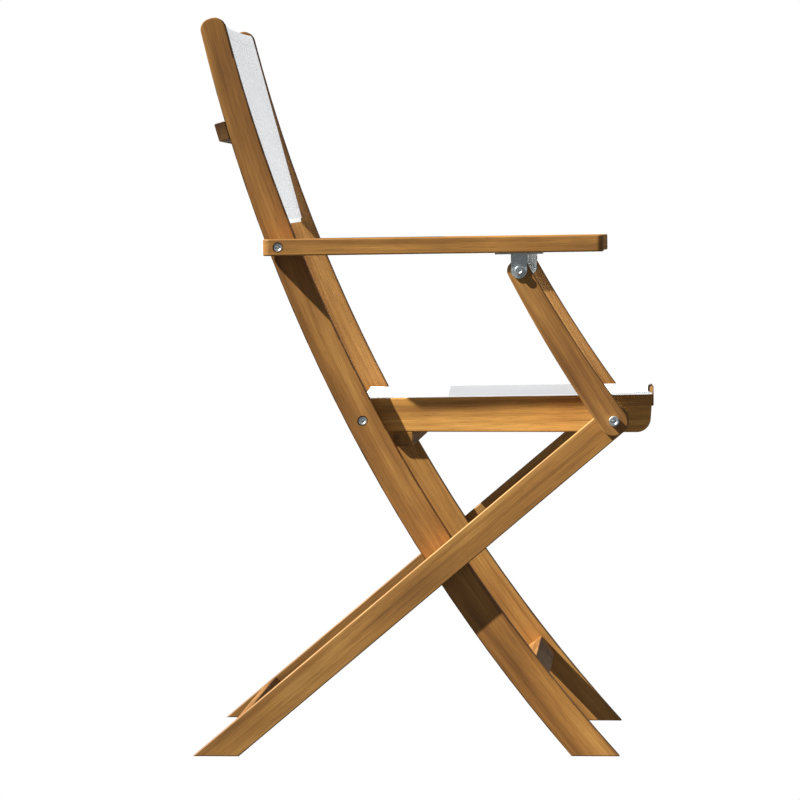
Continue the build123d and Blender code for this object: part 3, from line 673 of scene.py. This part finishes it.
# Sizes are in metres. The cloth's thickness, and how far it lies above the rails.
CLOTH = 0.0010
CLOTH_LIFT = 0.0003
# The seat cloth's edges: out from the rail's inner face, then down into its groove.
GROOVE_OFFSET = 0.0067
GROOVE_REACH = 0.0065
# How much the rails rise to the front, and the seat cloth's sag, front curve and front edge.
RAIL_RISE = 0.0055
SEAT_SAG = 0.0075
FRONT_BOW = 0.0050
FRONT_INSET = 0.0022
# Hems and stitches. A start and a span are shares of the cloth's width.
HEM = 0.018
HEM_START = 0.036
HEM_SPAN = 0.928
SEAT_SEAM_START = 0.055
SEAT_SEAM_SPAN = 0.89
BACK_SEAM_START = 0.03
BACK_SEAM_SPAN = 0.94
STITCH = 0.0038
THREAD_R = 0.00035
THREAD_SIDES = 6
CORD_R = 0.0018


def ease(value):
    """Smooth step from 0 to 1."""
    value = min(max(value, 0.0), 1.0)
    return value * value * (3 - 2 * value)


def stitches(name, points, normal_at, material, body):
    """A row of sewn stitches: short round threads that dip at both ends."""
    bm = bmesh.new()
    for start, end in points:
        along = end - start
        normal = normal_at(start)
        side = along.normalized().cross(normal)
        rings = []
        for k in range(5):
            t = k / 4
            lift = math.sin(math.pi * t) * THREAD_R * 0.9 - THREAD_R * 0.3
            centre = start + along * (0.08 + 0.84 * t) + normal * lift
            ring = []
            for m in range(THREAD_SIDES):
                angle = math.tau * m / THREAD_SIDES
                spoke = side * math.cos(angle) + normal * math.sin(angle)
                ring.append(bm.verts.new(centre + spoke * THREAD_R))
            rings.append(ring)
        for low, high in zip(rings, rings[1:]):
            bridge(bm, low, high)
        bm.faces.new(list(reversed(rings[0])))
        bm.faces.new(rings[-1])
    return add_object(name, finish_mesh(name, bm, 60.0), material, body)


def seat_top(x):
    """Height of the rails' top at a distance to the front."""
    return RAIL_HIGH[2] - RAIL_RISE * (RAIL_HIGH[0] - x) / (RAIL_HIGH[0] - RAIL_LOW[0])


def seat_point(u, v):
    """Middle of the seat cloth: u across from right to left, v from rear to front."""
    front = FRONT_BAR_HIGH[0] - FRONT_INSET
    edge = RAIL_IN + GROOVE_OFFSET
    path = 2 * (edge + GROOVE_REACH)
    walk = u * path - path / 2
    side = -1 if walk < 0 else 1
    run = abs(walk)
    over = CLOTH / 2 + CLOTH_LIFT
    if run > edge:
        y = edge
        z = over - (run - edge)
        y -= 0.0008 * math.exp(-(run - edge) / 0.0012)
    else:
        y = run
        z = over
    span = min(run / RAIL_IN, 1.0)
    hang = 1 - span * span
    x_front = front - FRONT_BOW * (1 - span**6)
    x = SEAT_REAR + (x_front - SEAT_REAR) * v
    to_bar = (FRONT_BAR_LOW[0] - x) / 0.11
    to_rear = (x - SEAT_REAR) / 0.09
    sag = SEAT_SAG * ease(to_bar) * (0.80 + 0.20 * ease(to_rear))
    return Vector((x, side * y, seat_top(x) + z - sag * hang))


def surface_of(point_at):
    """Point and normal of a surface given by its points alone."""

    def surface(u, v):
        step = 0.002
        point = point_at(u, v)
        du = point_at(min(u + step, 1.0), v) - point_at(max(u - step, 0.0), v)
        dv = point_at(u, min(v + step, 1.0)) - point_at(u, max(v - step, 0.0))
        return point, du.cross(dv).normalized()

    return surface


def make_seat_cloth(material, thread):
    """Seat cloth with a stitched hem at its front and rear."""
    width = 2 * (RAIL_IN + GROOVE_OFFSET + GROOVE_REACH)
    length = (seat_point(0.02, 1.0) - seat_point(0.02, 0.0)).length
    surface = surface_of(seat_point)
    mesh = sheet_mesh("seat_cloth", surface, width, length, (96, 60), CLOTH)
    cloth = add_object("seat_cloth", mesh, material, "seat")
    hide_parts("seat_fabric")
    hems = []
    for word, v_from, v_to, v_seam in (
        ("front", 1 - HEM / length, 0.9985, 1 - (HEM - 0.002) / length),
        ("rear", 0.0015, HEM / length, (HEM - 0.002) / length),
    ):

        def hem_surface(u, v, low=v_from, high=v_to):
            point, normal = surface(HEM_START + HEM_SPAN * u, low + (high - low) * v)
            return point - normal * CLOTH * 0.98, normal

        name = "seat_hem_" + word
        mesh = sheet_mesh(name, hem_surface, width * HEM_SPAN, HEM, (80, 3), CLOTH * 0.9)
        hem = add_object(name, mesh, material, "seat")
        rows = []
        count = int(2 * RAIL_IN * 0.96 / STITCH)
        for k in range(count):
            u1 = SEAT_SEAM_START + SEAT_SEAM_SPAN * k / count
            u2 = SEAT_SEAM_START + SEAT_SEAM_SPAN * (k + 1) / count
            p1, n1 = surface(u1, v_seam)
            p2, _ = surface(u2, v_seam)
            lift = n1 * CLOTH * 0.5
            rows.append((p1 + lift, p2 + lift))
        seam = stitches("seat_seam_" + word, rows, lambda p: Vector((0, 0, 1)), thread, "seat")
        hems += [hem, seam]
    return [cloth, *hems]


# Sag of the back cloth's two layers, and how far its edges go into the stiles.
BACK_SAG_FRONT = 0.0050
BACK_SAG_REAR = 0.0135
GROOVE_IN = 0.0050
# Half the distance between the layers, and how far below the fold they reach it.
LAYER_HALF = 0.0007
FOLD_DEPTH = 0.012
# How much longer the rear layer is than the front one, as a share of it.
REAR_DROP = 0.018
# Rows of stitches, at a share of the cloth's length from the front layer's foot.
BACK_SEAMS = (("front", 0.030), ("rear", 0.970), ("top", 0.470))


def back_line():
    """Bottom and top of the line along which the back cloth is held, and its front normal."""
    bottom = Vector((BACK_CORD_HIGH[0] - CORD_R, 0, BACK_CORD_LOW[2] + CORD_R * 0.26))
    top = Vector((BACK_CORD_LOW[0] + CORD_R, 0, BACK_CORD_HIGH[2] - CORD_R * 0.26))
    along = (top - bottom).normalized()
    normal = Vector((0, 1, 0)).cross(along)
    if normal.x < 0:
        normal.negate()
    return bottom, top, normal


BACK_BOTTOM, BACK_TOP, BACK_NORMAL = back_line()


def back_point(u, v):
    """Middle of the back cloth: v goes up its front layer, over the top and down its rear layer."""
    half = STILE_IN + GROOVE_IN
    y = -half + 2 * half * u
    span = min(abs(y) / STILE_IN, 1.0)
    hang = 1 - span * span
    if v < 0.5:
        height = v / 0.5
        front = 1.0
    else:
        height = (1.0 - v) / 0.5 * (1.0 + REAR_DROP) - REAR_DROP
        front = -1.0
    near_top = (1 - height) * (BACK_TOP - BACK_BOTTOM).length / FOLD_DEPTH
    round_off = math.sqrt(max(0.0, 1 - max(0.0, 1 - near_top) ** 2)) if near_top < 1 else 1.0
    offset = LAYER_HALF * front * round_off - BACK_SAG_FRONT * hang
    if front < 0:
        offset -= (BACK_SAG_REAR - BACK_SAG_FRONT) * hang * ease(near_top / 14)
    point = BACK_BOTTOM + (BACK_TOP - BACK_BOTTOM) * height + BACK_NORMAL * offset
    return Vector((point.x, y, point.z))


def make_back_cloth(material, thread):
    """Double back cloth with its three rows of stitches."""
    width = 2 * (STILE_IN + GROOVE_IN)
    length = (2 + REAR_DROP) * (BACK_TOP - BACK_BOTTOM).length
    surface = surface_of(back_point)
    mesh = sheet_mesh("back_cloth", surface, width, length, (90, 120), CLOTH * 0.9)
    cloth = add_object("back_cloth", mesh, material, "frame")
    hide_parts("back_fabric")
    seams = []
    for word, v_seam in BACK_SEAMS:
        rows = []
        out = -BACK_NORMAL if word == "rear" else BACK_NORMAL
        count = int(2 * STILE_IN * 0.97 / STITCH)
        for k in range(count):
            u1 = BACK_SEAM_START + BACK_SEAM_SPAN * k / count
            u2 = BACK_SEAM_START + BACK_SEAM_SPAN * (k + 1) / count
            p1, _ = surface(u1, v_seam)
            p2, _ = surface(u2, v_seam)
            rows.append((p1 + out * CLOTH * 0.45, p2 + out * CLOTH * 0.45))
        seam = stitches("back_seam_" + word, rows, lambda p, n=out: n, thread, "frame")
        seams.append(seam)
    return [cloth, *seams]


# ---------------------------------------------------------------------------
# Finish of the CAD nodes.


def dress(node, material):
    """Give a CAD node a better material."""
    slots = NODES[node].material_slots
    if not slots:
        NODES[node].data.materials.append(material)
        return
    for held in slots:
        held.material = material


# A stile's width along X, how far back from the middle of its box its curve's middle lies, and
# how strongly it bends, as one over the radius in metres.
STILE_WIDE = 0.044
STILE_BOW = 0.028
STILE_BEND = 1 / 2.06
# Directions of the straight boards, in degrees.
LEG_DEG = 40.25
ARM_DEG = 0.8
RAIL_DEG = 0.9


def stile_run():
    """Middle of the stiles' curve, as (X, Z), and their mean direction in degrees, from their box."""
    low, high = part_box("stile_left")
    run = Vector((high[0] - low[0] - STILE_WIDE, 0, low[2] - high[2]))
    middle = ((low[0] + high[0]) / 2 - STILE_BOW, (low[2] + high[2]) / 2)
    return middle, math.degrees(math.atan2(run.z, run.x))


def dress_wood():
    """A material for each board: direction of its grain, seed, tone, bend and middle."""
    stile_middle, stile_deg = stile_run()
    support = FRONT_PIVOT - BRACKET_PIVOT
    support_deg = math.degrees(math.atan2(support.z, support.x))
    # Middles of the boards, as (X, Z) in metres.
    origin = (0.0, 0.0)
    leg_middle = (0.0, 0.2)
    support_middle = (0.17, 0.49)
    arm_middle = (0.0, 0.6)
    rail_middle = (0.1, 0.4)
    boards = {
        "stile_right": (stile_deg, 1.7, 0.96, STILE_BEND, stile_middle),
        "stile_left": (stile_deg, 9.1, 0.94, STILE_BEND, stile_middle),
        "leg_right": (LEG_DEG, 3.3, 1.0, 0.0, leg_middle),
        "leg_left": (LEG_DEG, 7.9, 0.92, 0.0, leg_middle),
        "arm_support_right": (support_deg, 2.2, 0.98, 0.0, support_middle),
        "arm_support_left": (support_deg, 6.4, 0.90, 0.0, support_middle),
        "armrest_right": (ARM_DEG, 5.2, 1.18, 0.0, arm_middle),
        "armrest_left": (ARM_DEG, 8.6, 0.98, 0.0, arm_middle),
        "seat_rail_right": (RAIL_DEG, 4.1, 1.80, 0.0, rail_middle),
        "seat_rail_left": (RAIL_DEG, 0.6, 1.05, 0.0, rail_middle),
        "back_crossbar": (None, 2.9, 0.34, 0.0, origin),
        "front_foot_crossbar": (None, 4.8, 0.95, 0.0, origin),
        "rear_foot_crossbar": (None, 6.9, 0.92, 0.0, origin),
        "seat_front_bar": (None, 1.1, 1.0, 0.0, origin),
        "seat_rear_bar": (None, 8.2, 1.0, 0.0, origin),
    }
    fades = {"stile": (0.05, 0.70, 1.32, 0.84), "leg": (0.05, 0.36, 0.88, 1.12)}
    tints = {
        "stile": (0.98, 0.97, 0.92),
        "leg": (1.03, 1.07, 1.06),
        "seat": (1.04, 1.12, 1.06),
        "armrest": (1.0, 1.04, 1.0),
    }
    for node, (grain, seed, tone, bend, centre) in boards.items():
        kind = node.split("_")[0]
        tint = tints.get(kind, (1.0, 1.0, 1.0))
        dress(node, wood("wood_" + node, grain, seed, tone, bend, centre, fades.get(kind), tint))
    dowel = wood("wood_dowels", None, 5.5, 1.25)
    for node in ("front_foot_dowels", "rear_foot_dowels", "seat_front_bar_dowels"):
        dress(node, dowel)


def dress_small_parts(steel):
    """Steel, nylon and white plastic for the small CAD nodes."""
    for node in NODES:
        if node.startswith(("arm_bracket", "bracket_", "arm_pivot", "front_pivot", "rear_pivot")):
            dress(node, steel)
    for node in ("guide_pins", "back_crossbar_screws", "seat_rear_bar_screws"):
        dress(node, steel)
    nylon = plastic("nylon", (0.45, 0.45, 0.43), 0.45)
    for node in ("arm_pivot_washers", "front_pivot_washers", "rear_pivot_washers"):
        dress(node, nylon)
    white = plastic("white_plastic", (0.78, 0.78, 0.76), 0.4)
    for node in ("back_fabric_cords", "seat_fabric_cords", "guide_shoes"):
        dress(node, white)


# ---------------------------------------------------------------------------
# The scene.

make_camera()
make_sun()
make_world()

steel = zinc()
cloth = weave("white_cloth")
thread = thread_material()
dress_wood()
dress_small_parts(steel)
cloths = make_seat_cloth(cloth, thread)
cloths += make_back_cloth(cloth, thread)
make_cloth_fill(cloths)

make_bolts(
    "bolts_of_arm_pivot", "arm_pivot_bolts", ARM_PIVOT,
    ARM_OUT - ARM_HEAD_DEEP, STILE_IN + STILE_TIP_IN,
    M6_HEAD_R, HEAD_HIGH, M6_R, M6_SOCKET_R, "frame", steel,
)
make_bolts(
    "bolts_of_front_pivot", "front_pivot_bolts", FRONT_PIVOT,
    SUPPORT_OUT + FRONT_HEAD_OUT, RAIL_IN + RAIL_TIP_IN,
    M8_HEAD_R, M8_HEAD_HIGH, M8_R, M8_SOCKET_R, "seat", steel,
)
make_bolts(
    "bolts_of_rear_pivot", "rear_pivot_bolts", REAR_PIVOT,
    STILE_OUT - REAR_HEAD_DEEP, RAIL_IN + RAIL_TIP_IN,
    M6_HEAD_R, HEAD_HIGH, M6_R, M6_SOCKET_R, "seat", steel,
)
for word, sign in SIDES.items():
    make_bracket_hardware(word, sign, steel)

bpy.context.scene.view_settings.view_transform = "Standard"
